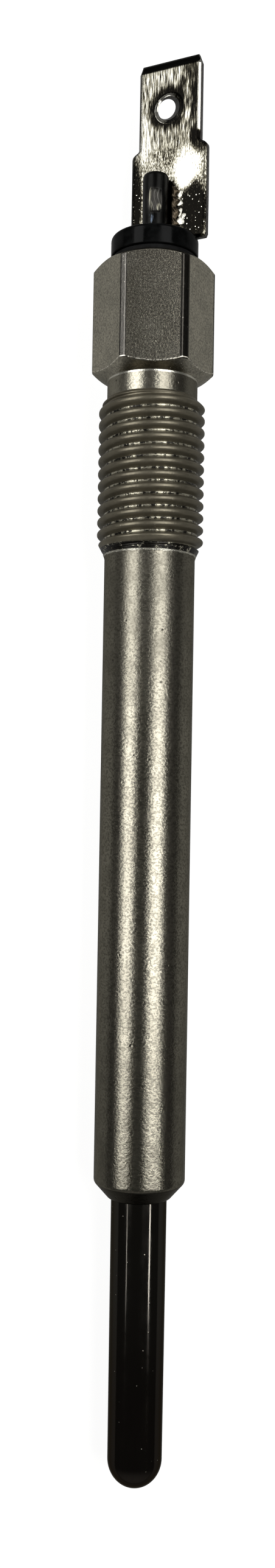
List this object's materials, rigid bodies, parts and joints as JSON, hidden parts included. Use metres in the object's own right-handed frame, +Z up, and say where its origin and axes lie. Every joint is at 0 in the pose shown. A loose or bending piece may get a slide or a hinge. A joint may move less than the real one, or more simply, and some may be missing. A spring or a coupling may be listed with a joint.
{
  "type": "diesel glow plug",
  "caption": "Sheathed-element diesel glow plug: hexagon head, threaded steel body, long barrel, closed heater tip and a blade terminal welded to the centre pin.",
  "frame": {"origin": "on the surface that the plug lies on, below the middle of its length", "axes": "+Z up, +Y along the plug towards its blade terminal, +X to the right of the blade seen from above"},
  "size_m": [0.0112, 0.1316, 0.0102],
  "materials": {
    "nickel_plate": "dull nickel plate, lightly scratched",
    "sheath_alloy": "dark drawn alloy tube, satin",
    "resistance_wire": "plain drawn wire",
    "magnesia": "compacted white powder",
    "black_rubber": "matte black",
    "rod_steel": "dark, heat-dulled steel",
    "black_plastic": "glossy black moulding",
    "bright_nickel": "bright nickel plate, finely scratched",
    "heat_tint": "brown heat-tinted weld"
  },
  "bodies": {
    "root": {"housing": "nickel_plate", "heater_sheath": "sheath_alloy", "heating_coil": "resistance_wire", "regulating_coil": "resistance_wire", "magnesia_fill": "magnesia", "sheath_seal": "black_rubber", "centre_electrode": "rod_steel", "head_seal": "black_rubber", "seat_washer": "black_rubber", "insulator_bush": "black_plastic", "spade_terminal": "bright_nickel", "terminal_weld": "heat_tint"}
  },
  "joints": []
}
